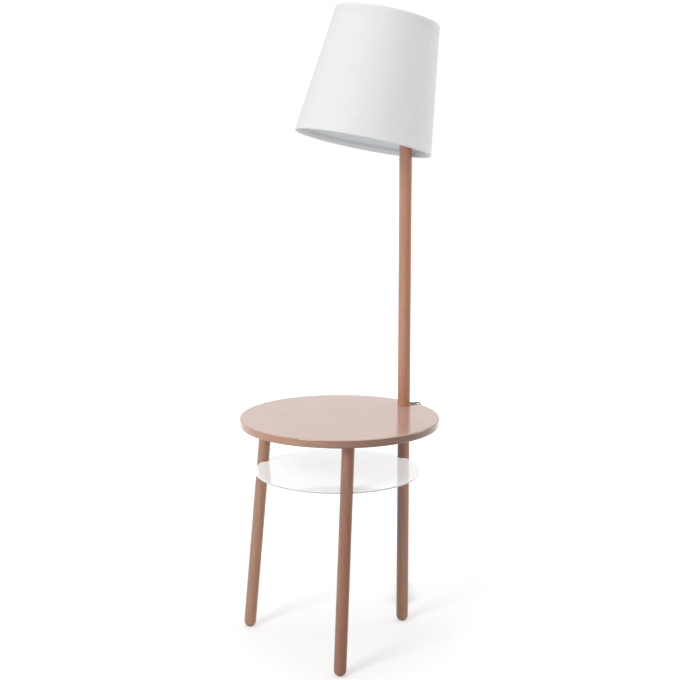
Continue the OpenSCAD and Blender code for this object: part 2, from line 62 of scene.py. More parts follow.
# %% Measures
TABLE_H, TABLE_T, TABLE_R = 526, 18, 225
SHELF_H = 403
BOX_X = 9.4986  # from the frame's origin back to the table's centre
LEG_RING = 184.4  # radius of the ring on which the three legs stand
SPLAY = 5  # degrees that the two free legs lean outwards
MAST_X = LEG_RING - BOX_X
PIN_Z = 1364.5  # height of the tilt pin
LEAN = radians(13.8)
ARM, RISE = 62.5, 30  # from the pin out to the shade's axis, and up to its top plane
SHADE_H, TOP_R, BOTTOM_R = 281, 116.5, 153
CORD_D = 3


def from_mast(x, y, z):
    """A point measured from the mast's axis and the floor."""
    return Vector((MAST_X + x, y, z)) / 1000


def from_pin(x, y, z):
    """A point of the tilting head, measured from the tilt pin along the head's own axes."""
    return from_mast(x * cos(LEAN) + z * sin(LEAN), y, PIN_Z + z * cos(LEAN) - x * sin(LEAN))


def down_shade(r, turn, s):
    """A point at radius r and depth s below the shade's top plane."""
    return from_pin(r * cos(turn) - ARM, r * sin(turn), RISE - s)


print("tilt pin at", [round(x, 4) for x in from_pin(0, 0, 0)])
print("middle of the shade's mouth at", [round(x, 4) for x in down_shade(0, 0, SHADE_H)])

# %% [markdown]
# The photograph was taken from a height of 1.3 m with a moderate telephoto lens. A fit to the
# outlines of top, shelf, mast and shade gave the place of the camera, its pitch and its lens. The
# picture is used whole, so the lens needs no shift.

# %% Camera
IMAGE_PX, FOCAL_PX = 680, 1488.2
SENSOR_MM = 36
TURN_IN_PLAN, PITCH = radians(35.873), 0.1812
camera = bpy.data.objects.new("camera", bpy.data.cameras.new("camera"))
scene.collection.objects.link(camera)
camera.location = (-1.92624, -2.65230, 1.3001)
camera.rotation_euler = (pi / 2 - PITCH, 0, -TURN_IN_PLAN)
camera.data.sensor_width = SENSOR_MM
camera.data.lens = FOCAL_PX * SENSOR_MM / IMAGE_PX
camera.data.clip_end = 60
scene.camera = camera
print("lens", round(camera.data.lens, 1), "mm")

# %% [markdown]
# The mains cord is a round two-core cord of 3 mm. It leaves the groove at the back of the mast,
# crosses the table's edge, goes down the groove of the leg under the mast and ends in its plug.
# The points of its route are those of the CAD source. On the floor they lie along a strip that
# leads away from the leg.

# %% Route of the cord
GROOVE_X, DROP_TOP = 12.3, 21
OVER_TABLE = [(GROOVE_X, DROP_TOP), (GROOVE_X, 13), (14, 7), (19, 3), (26, 2), (34, 2)]
RIM = TABLE_R - LEG_RING
RIM_TURN = [(-1, 2), (4.4, 0.4), (8.8, -4.5), (10.4, -12), (8.4, -19.5), (3.4, -26), (-4.6, -31),
            (-14.6, -36), (-22.6, -42), (-26.9, -49), (-28.8, -57)]
IN_LEG_X, IN_LEG_Z = 11.8, range(TABLE_H - 67, 84, -9)
LEAVING_LEG = [(11.9, 0, 77), (12.6, 0, 70), (14, 0, 63), (15.7, 0, 57), (16.4, 1.6, 51), (17, 5.5, 44),
               (18.5, 11.5, 35), (21.5, 19, 25.5), (25.5, 27.5, 16), (30, 36, 8.6)]
STRIP_HEADING = radians(51.6)
FLOOR_RUN = [(57, -1, 4.2), (66, -2.5, 2.8), (76, -5.5, 2.7), (85, -8.5, 2.7), (92, -9.5, 2.7)]


def on_strip(w, v, z):
    """A point on the strip of floor behind the leg, w along it and v across."""
    along, across = cos(STRIP_HEADING), sin(STRIP_HEADING)
    return from_mast(w * along - v * across, w * across + v * along, z)


route = [from_mast(x, 0, TABLE_H + z) for x, z in OVER_TABLE]
route += [from_mast(RIM + x, 0, TABLE_H + z) for x, z in RIM_TURN]
route += [from_mast(IN_LEG_X, 0, z) for z in IN_LEG_Z]
leg_points = len(route)
route += [from_mast(*p) for p in LEAVING_LEG] + [on_strip(*p) for p in FLOOR_RUN]
floor_points = len(route)
print("route to the hank:", floor_points, "points")

# %% [markdown]
# The spare length is put away as for storage: folded to and fro into a hank behind the leg, with
# a tie round its waist. A cord could be dropped in a simulation, but a hank is folded by hand and
# regular, so a loop works it out. One turn goes out, round a fold, back with the climb to the next
# layer, and round again. The two runs draw in towards each other in the middle, where the tie is.

# %% Hank
HANK_W, HANK_RUN, FOLD_R, WAIST = 112, 56, 9.5, 3.5
LOOPS, LAYER, LOWEST = 6, 3.6, 2.7
HANK_TOP = LOWEST + LOOPS * LAYER
RUN_PARTS = 7
PLUG_AT, PLUG_Z = 212, 8.5
TAIL = [(HANK_W + HANK_RUN + 6, -FOLD_R, HANK_TOP), (182, -9, HANK_TOP - 1), (188, -6, 18.5),
        (194, -3, 14), (200, -1, 10.5), (207, 0, PLUG_Z), (PLUG_AT, 0, PLUG_Z)]


def hank_turn(turn):
    """The points of one turn; the last is only a run out, from which the tail goes on."""
    base = LOWEST + turn * LAYER
    steps = [k / RUN_PARTS for k in range(RUN_PARTS + 1)]
    draw_in = [WAIST * (0.5 - 0.5 * cos(2 * pi * t)) for t in steps]
    out = [(HANK_W + t * HANK_RUN, -FOLD_R + d, base) for t, d in zip(steps, draw_in)]
    if turn == LOOPS:
        return out
    fold = [(FOLD_R * cos(a), FOLD_R * sin(a)) for a in [radians(-90 + 36 * k) for k in range(1, 5)]]
    far = [(HANK_W + HANK_RUN + x, y, base) for x, y in fold]
    back = [(HANK_W + (1 - t) * HANK_RUN, FOLD_R - d, base + t * LAYER) for t, d in zip(steps, draw_in)]
    near = [(HANK_W - x, -y, base + LAYER) for x, y in fold]
    return out + far + back + near


route += [on_strip(*p) for turn in range(LOOPS + 1) for p in hank_turn(turn)]
route += [on_strip(*p) for p in TAIL]
print("hank of", LOOPS, "turns,", round(HANK_TOP), "mm high")

# %% [markdown]
# A spline through the points makes the route a smooth line. Blender's own Bezier curve could do
# that too, but each of its handles would have to be set, and this spline needs only the points.
# Where the cord comes off the leg and swings to the floor, the corners are eased further: each
# pass moves a point towards the middle of its neighbours, which is how a real cord's stiffness
# spreads a bend.

# %% The cord's line
SPLINE_PARTS = 4
EASE_PASSES = 24


def smooth_line(points, parts=SPLINE_PARTS):
    """Catmull-Rom spline through the points, which keeps every one of them."""
    ends = [2 * points[0] - points[1]] + points + [2 * points[-1] - points[-2]]
    line = []
    for a, b, c, d in zip(ends, ends[1:], ends[2:], ends[3:]):
        for k in range(parts):
            t = k / parts
            line.append(0.5 * (2 * b + (c - a) * t + (2 * a - 5 * b + 4 * c - d) * t * t
                               + (3 * b - a - 3 * c + d) * t ** 3))
    return line + [points[-1]]


def eased(line, first, last, passes):
    """The line with its corners softened between two of its points."""
    for _ in range(passes):
        neighbours = zip(line[first - 1:], line[first:last], line[first + 1:])
        line = line[:first] + [(a + 2 * b + c) / 4 for a, b, c in neighbours] + line[last:]
    return line


def length_of(line):
    return sum((b - a).length for a, b in zip(line, line[1:]))


first, last = SPLINE_PARTS * (leg_points + 2), SPLINE_PARTS * floor_points
cord_line = eased(smooth_line(route), first, last, EASE_PASSES)

# %% [markdown]
# A cord is a curve with a round bevel, because a curve has a real length. The leads and the
# plug's sleeve are the same tube turned into a mesh, because they have to bend or be shaped.

# %% A round tube along a line
def tube_curve(name, line, diameters, sides=10):
    """Curve with a round bevel. diameters is one number in mm, or one for each point. The bevel is
    one metre and each point's radius holds the size, because a curve's box counts that radius."""
    curve = bpy.data.curves.new(name, "CURVE")
    curve.dimensions = "3D"
    curve.use_fill_caps = True
    curve.bevel_resolution = sides // 2 - 2
    curve.bevel_depth = 1
    spline = curve.splines.new("POLY")
    spline.points.add(len(line) - 1)
    for k, (point, place) in enumerate(zip(spline.points, line)):
        point.co = (*place, 1)
        point.radius = (diameters[k] if hasattr(diameters, "__len__") else diameters) / 2000
    made = bpy.data.objects.new(name, curve)
    scene.collection.objects.link(made)
    return made


def tube_mesh(name, line, diameters, sides=12):
    """The same tube turned into a mesh."""
    curve = tube_curve(name + "_line", line, diameters, sides)
    mesh = bpy.data.meshes.new_from_object(curve)
    mesh.name = name
    made = bpy.data.objects.new(name, mesh)
    scene.collection.objects.link(made)
    bpy.data.objects.remove(curve, do_unlink=True)
    for face in mesh.polygons:
        face.use_smooth = True
    return made


cord = tube_curve("mains_cord", cord_line, CORD_D)
cord.data.splines[0].use_smooth = True
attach(cord, "stand")
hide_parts("cord_drop", "cord_hank", "cord_tail")
print("mains cord of", len(cord_line), "points")

# %% [markdown]
# Where the cord enters the plug, a moulded sleeve tapers along it, so that the cord can't kink
# there. Its ribs let it bend. A cone with rings would stand straight, while the cord curves. So it
# is a tube along the cord's own last points, each with its diameter: thick and thin by turns, and
# ever thinner away from the plug.

# %% Strain relief at the plug
SLEEVE_LENGTH, SLEEVE_STEP = 26, 0.65
SLEEVE_D, SLEEVE_TAPER, RIB = 8.6, 4.6, 0.9
sleeve_line, along = [cord_line[-1]], 0
for point, before in zip(cord_line[-2::-1], cord_line[:0:-1]):
    gap = (point - before).length * 1000
    parts = max(1, round(gap / SLEEVE_STEP))
    sleeve_line += [before.lerp(point, (k + 1) / parts) for k in range(parts)]
    along += gap
    if along > SLEEVE_LENGTH:
        break
count = len(sleeve_line) - 1
between_ribs = [k % 4 > 1 and k < count - 3 for k in range(count + 1)]
sleeve_d = [SLEEVE_D - SLEEVE_TAPER * k / count - RIB * thin for k, thin in enumerate(between_ribs)]
relief = tube_mesh("plug_relief", sleeve_line, sleeve_d, 20)
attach(relief, "stand")
print("strain relief", round(1000 * length_of(sleeve_line), 1), "mm")

# %% [markdown]
# Two short leads belong to the same cord: one lies in the groove and bore of the mast, and one goes over the
# tilt joint into the lampholder. If the second rode on one body, it would tear out of the other when the
# shade tilts. So it is a mesh that rides on neither body.

# %% Leads
MAST_LEAD = [(-9.9, -53.57), (4, -62.6), (8, -65.6), (10.7, -69.4), (12, -74), (GROOVE_X, -79)]
lead_points = [from_mast(x, 0, PIN_Z + z) for x, z in MAST_LEAD]
lead_points += [from_mast(GROOVE_X, 0, z) for z in (1200, 1000, 800, 640, TABLE_H + DROP_TOP + 0.2)]
mast_lead = tube_mesh("lead_in_mast", smooth_line(lead_points), CORD_D)
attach(mast_lead, "stand")
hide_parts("mast_lead")

IN_HEAD = [(-ARM, 11), (-ARM, 14), (2.5 - ARM, 19.7), (8.5 - ARM, 22.2), (-43, 20.8), (-30, 16.2),
           (-19.2, 9.6), (-14.4, 2)]
OVER_CAP = [(-13.4, -2.5), (-16, -9), (-18.2, -16), (-19.3, -26), (-19.3, -36), (-18.8, -45.4),
            (-14.8, -50.4), (-10, -53.5)]
loop_points = [from_pin(x, 0, z) for x, z in IN_HEAD] + [from_mast(x, 0, PIN_Z + z) for x, z in OVER_CAP]
head_lead = tube_mesh("lead_over_joint", smooth_line(loop_points), CORD_D)
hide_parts("head_lead")
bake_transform(head_lead)
print("leads", round(length_of(lead_points), 3), "and", round(length_of(loop_points), 3), "m")

# %% [markdown]
# A bmesh is Blender's table for building shapes. The spin operator turns a profile line round an axis, as a
# lathe or a potter's wheel does. A second helper makes the shape an object whose own place stays at the
# origin, smooths its faces and lets it ride on a body of the lamp.

# %% From a profile to a piece
SHADE_TOP = down_shade(0, 0, 0)
SHADE_AXIS = (SHADE_TOP - down_shade(0, 0, SHADE_H)).normalized()


def spun(profile, start, steps, turn=2 * pi):
    """A new bmesh: a profile of radius and depth, spun round the shade's axis from an angle."""
    shape = bmesh.new()
    verts = [shape.verts.new(down_shade(r, start, s)) for r, s in profile]
    edges = [shape.edges.new(pair) for pair in zip(verts, verts[1:])]
    bmesh.ops.spin(shape, geom=verts + edges, cent=SHADE_TOP, axis=SHADE_AXIS, angle=turn, steps=steps,
                   use_merge=turn == 2 * pi)
    return shape


def piece(name, shape, body):
    bmesh.ops.remove_doubles(shape, verts=shape.verts, dist=1e-6)
    bmesh.ops.recalc_face_normals(shape, faces=shape.faces)
    mesh = bpy.data.meshes.new(name)
    shape.to_mesh(mesh)
    shape.free()
    made = bpy.data.objects.new(name, mesh)
    scene.collection.objects.link(made)
    for face in mesh.polygons:
        face.use_smooth = True
    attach(made, body)
    print(name, len(mesh.polygons), "faces")
    return made


print("shade's axis", [round(x, 3) for x in SHADE_AXIS])

# %% [markdown]
# The shade is cloth laminated on a stiff liner. The cloth is cut as a band of a cone, glued round
# the liner, and its edges are rolled in over the two wires, which leaves a narrow hem line. A plain
# cone from Blender's menu would lack those hems. One profile gives the band with both: each pair is
# how far the cloth stands out from the plain cone, and how far down the shade it is.

# %% Profile of the cloth
HEM = 7
TOP_HEM = [(-5.7, 11), (-5.7, 4), (-5.6, 1), (-4.9, -0.4), (-3.4, -1.0), (-1.4, -1.0), (-0.2, -0.5),
           (0.25, 0.8), (0.25, HEM), (0, HEM + 0.5)]
BAND = [(0, s) for s in (30, 70, 110, 150, 190, 230, 255)]
BOTTOM_HEM = [(0, -HEM - 0.5), (0.25, -HEM), (0.25, -1), (-0.2, 0.4), (-1.4, 1.0), (-3.4, 1.0), (-5.0, 0.4),
              (-5.7, -1), (-5.8, -4), (-5.8, -11)]


def cloth_r(s):
    return TOP_R + (BOTTOM_R - TOP_R) * s / SHADE_H


outline = TOP_HEM + BAND + [(out, SHADE_H + s) for out, s in BOTTOM_HEM]
cloth_profile = [(cloth_r(s) + out, s) for out, s in outline]
print("profile of", len(cloth_profile), "points")

# %% [markdown]
# The weave follows the cloth, so the band gets a UV map that is measured in metres of cloth:
# round the band at its middle width, and down it. A face's corners are measured from the face's
# own middle, so that the map has no jump inside a face.

# %% Metres of cloth
MIDDLE_R = 0.135  # metres, half way between the top's and the bottom's radius


def band_uv(mesh):
    layer = mesh.uv_layers.new(name="cloth")
    outwards = Vector((cos(LEAN), 0, -sin(LEAN)))
    for face in mesh.polygons:
        corners = []
        for loop in face.loop_indices:
            arm = mesh.vertices[mesh.loops[loop].vertex_index].co - SHADE_TOP
            corners.append((Vector((arm.dot(outwards), arm.y)), -arm.dot(SHADE_AXIS)))
        facing = sum((c for c, s in corners), Vector((0, 0)))
        middle = Vector((1, 0)).angle_signed(facing)
        for loop, (corner, s) in zip(face.loop_indices, corners):
            layer.data[loop].uv = ((facing.angle_signed(corner) + middle) * -MIDDLE_R, s)


cloth = piece("shade_cloth", spun(cloth_profile, pi, 120), "head")
band_uv(cloth.data)
print("cloth is", round(MIDDLE_R * 2 * pi, 3), "m round its middle")

# %% [markdown]
# Solidify gives the cloth its half millimetre. Where the band's two ends meet at the back, one lies on the
# other: that overlap is a second, narrow strip, a few degrees wide.

# %% Thickness and seam
CLOTH_T, SEAM_T = 0.0005, 0.0004
SEAM_TURN, SEAM_OUT = radians(4.2), 0.42
outside = [(r, s) for r, s in cloth_profile if 0.5 < s < SHADE_H - 0.5 and r > cloth_r(s) - 0.1]
seam_profile = [(r + SEAM_OUT, s) for r, s in outside]
seam = piece("shade_seam", spun(seam_profile, -SEAM_TURN / 2, 6, -SEAM_TURN), "head")
band_uv(seam.data)
for sheet, thickness in ((cloth, CLOTH_T), (seam, SEAM_T)):
    solid = sheet.modifiers.new("thickness", "SOLIDIFY")
    solid.thickness, solid.offset = thickness, -1
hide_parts("shade_fabric")

# %% [markdown]
# ## Materials
# Every colour is written as on screen, in hex, and one function turns it into the linear values
# that the shader works with. The inputs of a node are given in its own order, by name or by
# number: a hex text is a colour, the output of another node becomes a link, and the rest are plain
# values. A map range takes a value, the range it comes from and the range it goes to. A mix of
# colours takes its factor as input 0 and the colours as inputs 6 and 7, and gives output 2.

# %% Colours and nodes
def hex_colour(text):
    parts = [int(text[i:i + 2], 16) / 255 for i in (1, 3, 5)]
    return [x / 12.92 if x <= 0.04045 else ((x + 0.055) / 1.055) ** 2.4 for x in parts] + [1]


def feed(node, inputs):
    for name, value in inputs.items() if isinstance(inputs, dict) else enumerate(inputs):
        if isinstance(value, bpy.types.NodeSocket):
            node.id_data.links.new(value, node.inputs[name])
        else:
            node.inputs[name].default_value = hex_colour(value) if isinstance(value, str) else value


def add(tree, kind, inputs=(), out=0, **settings):
    """Adds a node with its settings and inputs, and hands on one of its outputs."""
    node = tree.nodes.new("ShaderNode" + kind)
    for name, value in settings.items():
        setattr(node, name, value)
    feed(node, inputs)
    return node.outputs[out]


print("mid grey is", [round(x, 3) for x in hex_colour("#808080")])

# %% [markdown]
# A finish starts from the Principled shader with its plain values, which stay on the shader's own
# sockets. Most patterns here are flecks: noise in the piece's own coordinates, stretched so that
# one fleck has a real size in millimetres along each axis. Grain, pores and clouds are all flecks.

# %% Finishes and flecks
def finish(name, colour, rough, metallic=0.0, **sockets):
    made = bpy.data.materials.new(name)
    made.use_nodes = True
    shader = made.node_tree.nodes["Principled BSDF"]
    feed(shader, {"Base Color": colour, "Roughness": rough, "Metallic": metallic})
    feed(shader, {key.replace("_", " "): value for key, value in sockets.items()})
    return made, made.node_tree, shader


def flecks(tree, size, detail=2.0, rough=0.5, turn=(0, 0, 0), source="Object"):
    """Noise with flecks of the given size in mm. turn brings a leaning bar's axis upright."""
    place = add(tree, "TexCoord", out=source)
    fleck = add(tree, "Mapping", {"Vector": place, "Rotation": turn, "Scale": [1000 / s for s in size]})
    return add(tree, "TexNoise", {"Vector": fleck, "Scale": 1.0, "Detail": detail, "Roughness": rough}, "Fac")


def dress(made, *pieces):
    """Gives the material to pieces, and to CAD nodes by their names."""
    targets = [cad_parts[one] if isinstance(one, str) else one for one in pieces]
    for target in targets:
        if not target.data.materials:
            target.data.materials.append(made)
        for slot in target.material_slots:
            slot.material = made
    print(made.name, "on", ", ".join(target.name for target in targets))


FLECK_LOW, FLECK_HIGH = 0.3, 0.7  # between these lie nearly all of the noise's values

# %% [markdown]
# The legs and the mast are turned from solid wood with a fine straight grain, stained to a rosy brown and
# lacquered satin. A picture of wood could be wrapped round them, but it would show a seam and smear over the
# round ends. Noise fills space, so it goes through a bar as grain does: growth bands 5 mm wide are drawn out
# over 26 cm, and short dark pores lie in them. The splayed legs get the same pattern turned to their own
# axis, or the grain would run out of the wood. Each bar is painted a little darker towards one side, a tint
# that grows across the bar: painted shade on the side that gets less light. The turned ends of the legs are
# painted darker too: painted shade where they stand on the floor.

# %% Turned wood
BAND_SIZE, PORE_SIZE = (5, 5, 260), (0.9, 0.9, 14)
PORE_LOW, PORE_HIGH, PORE_DEPTH = 0.52, 0.72, 0.00006  # only the upper part of the noise is a pore
# Painted shade across a bar: its darker tint grows over these metres across the axis.
SIDE_SHADE_FROM, SIDE_SHADE_TO = -0.008, 0.009  # metres across the bar's axis
# Painted shade at the legs' ends: they darken towards the floor between these heights.
FOOT_FROM, FOOT_TO = 0.001, 0.009  # metres above the floor
PORE, FOOT_SHADE = "#6E4534", "#A89C98"


def turned_wood(name, light, dark, side_shade, shaded_side, bar=Matrix(), through=(MAST_X, 0, 0), foot=True):
    """bar turns an upright bar into this one, and through is a point of its axis in mm. The tint and the
    angle after the two colours paint a shade on one side of the bar: its colour, and the way that side faces
    in plan, in degrees."""
    # Satin lacquer, IOR 1.5, over wood that stays a little rough: soft long lights down the bar.
    made, tree, shader = finish(name, dark, 0.3, IOR=1.5, Coat_Weight=0.25, Coat_Roughness=0.12)
    upright = bar.inverted().to_euler("XYZ")
    bands = flecks(tree, BAND_SIZE, 3, 0.6, upright)
    pores = flecks(tree, PORE_SIZE, turn=upright)
    banded = add(tree, "MapRange", (bands, FLECK_LOW, FLECK_HIGH, 0, 1))
    pored = add(tree, "MapRange", (pores, PORE_LOW, PORE_HIGH, 0, 0.3))
    tone = add(tree, "Mix", {0: banded, 6: light, 7: dark}, 2, data_type="RGBA")
    tone = add(tree, "Mix", {0: pored, 6: tone, 7: PORE}, 2, data_type="RGBA")

    # Painted shade: one side of the bar is tinted darker, growing across it.
    axis = bar @ Vector((0, 0, 1))
    facing = Vector((cos(radians(shaded_side)), sin(radians(shaded_side)), 0))
    facing = (facing - axis * facing.dot(axis)).normalized()
    middle = facing.dot(Vector(through)) / 1000
    place = add(tree, "TexCoord", out="Object")
    across = add(tree, "VectorMath", (place, facing), "Value", operation="DOT_PRODUCT")
    side_shaded = add(tree, "MapRange", (across, middle + SIDE_SHADE_FROM, middle + SIDE_SHADE_TO, 0, 1))
    tone = add(tree, "Mix", {0: side_shaded, 6: tone, 7: side_shade}, 2, data_type="RGBA", blend_type="MULTIPLY")
    # Painted shade: the foot darkens towards the floor.
    if foot:
        height = add(tree, "SeparateXYZ", (place,), "Z")
        shade_below = add(tree, "MapRange", (height, FOOT_FROM, FOOT_TO, 1, 0))
        tone = add(tree, "Mix", {0: shade_below, 6: tone, 7: FOOT_SHADE}, 2, data_type="RGBA", blend_type="MULTIPLY")
    sheen = add(tree, "MapRange", (pores, FLECK_LOW, FLECK_HIGH, 0.26, 0.4))
    bump = add(tree, "Bump", {"Height": pores, "Distance": PORE_DEPTH, "Strength": 0.35})
    feed(shader, {"Base Color": tone, "Roughness": sheen, "Normal": bump})
    return made


print("bands", BAND_SIZE, "mm, pores", PORE_SIZE, "mm")

# %% [markdown]
# No two bars come from the same plank, so each has its own light and dark, partly the wood's own tone and
# partly set to how brightly the bar is lit, which is painted light and shade; each also has its own painted
# shade on one side. The mast and the leg under it stand upright. The two free legs lean outwards, each in its
# own direction from the table's centre, so their material is told how the bar leans and one point that its
# axis goes through.

# %% Mast and legs
def splayed(side):
    """How the leg on this side leans, and where its axis leaves the table."""
    bar = Matrix.Rotation(radians(150 * side), 3, "Z") @ Matrix.Rotation(radians(-SPLAY), 3, "Y")
    return bar, (-BOX_X - LEG_RING / 2, side * LEG_RING * sin(pi / 3), TABLE_H - TABLE_T)


# Each bar's colours are set partly to how brightly it is lit: painted light and shade.
dress(turned_wood("wood_mast", "#D69F80", "#BB8467", "#DDD4CE", -36, foot=False), "mast")
dress(turned_wood("wood_mast_leg", "#BB8668", "#A26F55", "#C7CED1", 144), "mast_leg")
dress(turned_wood("wood_front_leg", "#AC785F", "#946349", "#DFD0C8", -36, *splayed(-1)), "front_leg")
dress(turned_wood("wood_left_leg", "#C29478", "#A97C60", "#F0EAE6", -36, *splayed(1)), "left_leg")

# %% [markdown]
# The table top is a board under lacquer. Its face is a pale pinkish beige with a very soft cloudiness; the
# rim keeps the brown of the wood. The boards run along Y, so the rim shows their long grain where it faces X,
# and darker end grain where it faces Y; that darker end grain is also painted shade on the part of the rim
# turned from the light. The way a spot of the rim faces is read from its place: Y as a share of the table's
# radius, squared. The rim's lower edge is painted a little greyer: painted shade under the edge.

# %% Face and rim of the table
UNDER_Z = (TABLE_H - TABLE_T) / 1000


def table_face(tree):
    """Beige lacquer over the boards: clouds a hand wide, and a trace of 7 mm grain."""
    cloudy = add(tree, "MapRange", (flecks(tree, (90, 160, 160)), FLECK_LOW, FLECK_HIGH, 0, 1))
    lined = add(tree, "MapRange", (flecks(tree, (7, 240, 240), 3, 0.6), FLECK_LOW, FLECK_HIGH, 0, 0.25))
    face = add(tree, "Mix", {0: cloudy, 6: "#D6B09F", 7: "#CFA797"}, 2, data_type="RGBA")
    return add(tree, "Mix", {0: lined, 6: face, 7: "#C2998A"}, 2, data_type="RGBA")


def table_rim(tree, y, z):
    """Wood of the rim: streaks 2 mm thick, paler on the long grain; the darker end grain is partly painted
    shade, and the greyer lower edge is painted shade.
    """
    streak = add(tree, "MapRange", (flecks(tree, (40, 40, 2.2), 3), FLECK_LOW, FLECK_HIGH, 0, 1))
    lit_long_grain = add(tree, "Mix", {0: streak, 6: "#C4937A", 7: "#B28265"}, 2, data_type="RGBA")
    shaded_end_grain = add(tree, "Mix", {0: streak, 6: "#875D47", 7: "#754D3A"}, 2, data_type="RGBA")
    # Painted shade: the part of the rim that faces Y takes the darker end grain.
    out = add(tree, "Math", (y, 1000 / TABLE_R), operation="MULTIPLY")
    ends = add(tree, "Math", (out, out), operation="MULTIPLY")
    rim = add(tree, "Mix", {0: ends, 6: lit_long_grain, 7: shaded_end_grain}, 2, data_type="RGBA")
    # Painted shade under the rim's lower edge.
    shade_below = add(tree, "MapRange", (z, UNDER_Z, UNDER_Z + 0.003, 1, 0))
    return add(tree, "Mix", {0: shade_below, 6: rim, 7: "#B4A8A4"}, 2, data_type="RGBA", blend_type="MULTIPLY")


print("underside of the table at", UNDER_Z, "m")

# %% [markdown]
# Face and rim are parted by a mask on the height. Two materials on the mesh could do that too, but only along
# its triangles, and a mask can fade. Where it is half way, at the rounded edge, a fine pale line is painted:
# a painted highlight on the rounded edge. The lacquer is smooth and glossy and mirrors the mast; wiping
# leaves it a little duller in places some 6 cm wide.

# %% Lacquered table top
FACE_Z, EDGE_Z = (TABLE_H - 0.6) / 1000, (TABLE_H - 1.6) / 1000


def lacquered_table():
    # Gloss lacquer, IOR 1.5 with a clear coat: it mirrors the mast with slightly soft edges.
    made, tree, shader = finish("lacquered_table", "#D6AF9E", 0.15, IOR=1.5, Coat_Weight=0.42,
                                Coat_Roughness=0.12)
    place = add(tree, "TexCoord", out="Object")
    y, z = [add(tree, "SeparateXYZ", (place,), way) for way in "YZ"]
    on_face = add(tree, "MapRange", (z, EDGE_Z, FACE_Z, 0, 1))
    rim, face = table_rim(tree, y, z), table_face(tree)
    tone = add(tree, "Mix", {0: on_face, 6: rim, 7: face}, 2, data_type="RGBA")
    # Painted highlight: a fine pale line at the rounded edge, where face and rim meet.
    off_face = add(tree, "Math", (1.0, on_face), operation="SUBTRACT")
    edge_highlight = add(tree, "Math", (on_face, off_face), operation="MULTIPLY")
    edge_highlight = add(tree, "Math", (edge_highlight, 2.4), operation="MULTIPLY")
    tone = add(tree, "Mix", {0: edge_highlight, 6: tone, 7: "#E9D2C4"}, 2, data_type="RGBA")
    wiped = add(tree, "MapRange", (flecks(tree, (60, 60, 60), 3), FLECK_LOW, FLECK_HIGH, 0.12, 0.2))
    bump = add(tree, "Bump", {"Height": flecks(tree, (9, 9, 9), 1), "Distance": 0.00002, "Strength": 0.3})
    feed(shader, {"Base Color": tone, "Roughness": wiped, "Normal": bump})
    return made


dress(lacquered_table(), "table_top")

# %% [markdown]
# The shelf is a sheet of white back-lacquered glass with ground edges: very smooth and bright, with a faint
# wave in its reflection. Glass over paint could be two bodies, with light bent in one of them, but on so thin
# a sheet a clear coat over white looks the same and renders fast. A small emission, a painted glow, keeps the
# face white: without it the table's shadow makes the shelf grey. The ground rim is greyer and has little of
# that glow.

# %% White shelf
def white_shelf():
    # Back-lacquered glass, IOR 1.5: an even cool white under a clear sharp gloss.
    made, tree, shader = finish("white_shelf", "#F4F7F9", 0.08, IOR=1.5, Coat_Weight=0.5, Coat_Roughness=0.03,
                                Emission_Color="#F7FDFF", Emission_Strength=0.46)
    height = add(tree, "SeparateXYZ", (add(tree, "TexCoord", out="Object"),), "Z")
    on_edge = add(tree, "MapRange", (height, (SHELF_H - 0.8) / 1000, (SHELF_H - 0.3) / 1000, 1, 0))
    tone = add(tree, "Mix", {0: on_edge, 6: "#F4F6F7", 7: "#C2C6C7"}, 2, data_type="RGBA")
    # Painted glow on the shelf's face, much weaker on the ground rim.
    glow = add(tree, "MapRange", (on_edge, 0, 1, 0.46, 0.05))
    wave = flecks(tree, (120, 120, 120), 1)
    polish = add(tree, "MapRange", (wave, FLECK_LOW, FLECK_HIGH, 0.06, 0.11))
    bump = add(tree, "Bump", {"Height": wave, "Distance": 0.00005, "Strength": 0.2})
    feed(shader, {"Base Color": tone, "Emission Strength": glow, "Roughness": polish, "Normal": bump})
    return made


dress(white_shelf(), "shelf_disc")

# %% [markdown]
# The cloth is a fine white polyester plain weave over a matt film. Its threads are 0.4 mm apart,
# less than a pixel of the main view, so it is drawn at 0.8 mm: two waves at right angles whose
# product lifts the crossings, in the cloth's own UV, which is measured in metres of cloth. Here
# and there a thread is thicker, a slub, which leaves a faint line along the weft.

# %% Woven shade cloth
THREAD = 0.8
SLUB = (16.7, 1.11, 1000)  # mm round the shade, down it, and across the flat map, where it is even


def woven_cloth():
    # Polyester weave, very rough with a weak sheen: white that stays soft towards its edges.
    made, tree, shader = finish("woven_shade_cloth", "#F4F4F3", 0.85, Sheen_Weight=0.15, Sheen_Roughness=0.5)
    uv = add(tree, "TexCoord", out="UV")
    waves = []
    for way in "XY":
        metres = add(tree, "SeparateXYZ", (uv,), way)
        angle = add(tree, "Math", (metres, pi * 1000 / THREAD), operation="MULTIPLY")
        waves.append(add(tree, "Math", (angle,), operation="SINE"))
    crossing = add(tree, "Math", waves, operation="MULTIPLY")
    slubbed = add(tree, "MapRange", (flecks(tree, SLUB, source="UV"), FLECK_LOW, FLECK_HIGH, 0, 1))
    tone = add(tree, "Mix", {0: slubbed, 6: "#F6F6F5", 7: "#EFEFEE"}, 2, data_type="RGBA")
    bump = add(tree, "Bump", {"Height": crossing, "Distance": 0.00012, "Strength": 0.35})
    feed(shader, {"Base Color": tone, "Normal": bump})
    return made


dress(woven_cloth(), cloth, seam)

# %% [markdown]
# The rest of the lamp has moulded, fired, turned or drawn surfaces. Each is a smooth base whose
# roughness wanders a little, with the fine grain that its making leaves. Some of that grain is
# finer than 0.4 mm on the real thing: it is drawn at 0.4 mm or more, or it wouldn't show at all.

# %% Grained surfaces
WANDER = 12  # how many grains wide the patches of duller and shinier surface are


